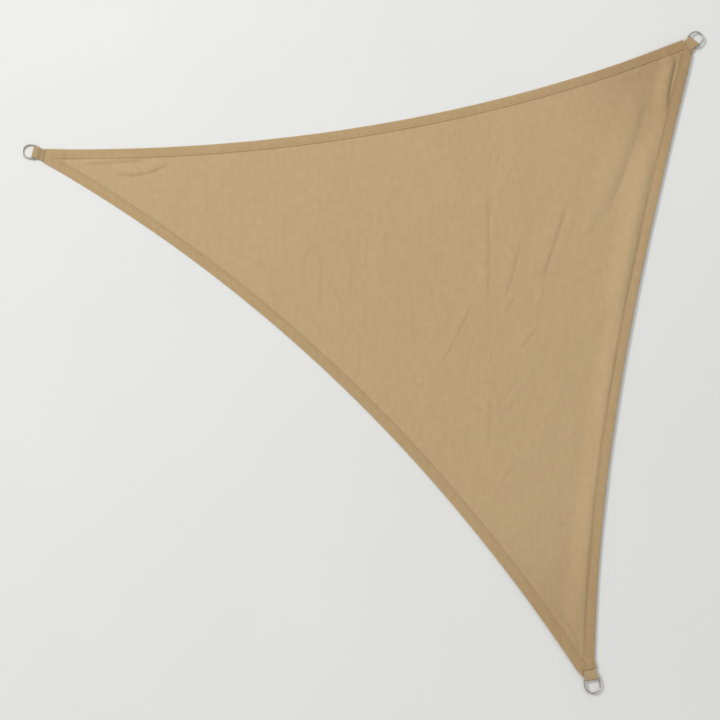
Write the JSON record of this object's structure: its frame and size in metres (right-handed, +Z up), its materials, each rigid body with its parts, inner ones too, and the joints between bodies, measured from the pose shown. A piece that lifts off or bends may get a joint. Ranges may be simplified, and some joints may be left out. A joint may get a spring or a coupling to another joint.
{
  "type": "shade sail",
  "caption": "Triangular shade sail of woven cloth with hollow-cut, hemmed edges and a webbing loop holding a steel D-ring at each corner, laid out on the ground.",
  "frame": {"origin": "middle of the bounding box in plan, at the level of the ground that the sail lies on", "axes": "+Z up out of the laid cloth; +X along the ground from the left corner to the side of the right and bottom corners; +Y along the ground from the bottom corner to the side of the other two"},
  "size_m": [2.78, 2.6341, 0.018],
  "materials": {
    "woven_cloth": "matt woven polyester, sand",
    "webbing": "polyester webbing, sand",
    "ring_steel": "polished stainless steel wire"
  },
  "bodies": {
    "root": {"sail_panel": "woven_cloth", "corner_loop_left": "webbing", "corner_loop_right": "webbing", "corner_loop_bottom": "webbing", "d_ring_left": "ring_steel", "d_ring_right": "ring_steel", "d_ring_bottom": "ring_steel"}
  },
  "joints": []
}
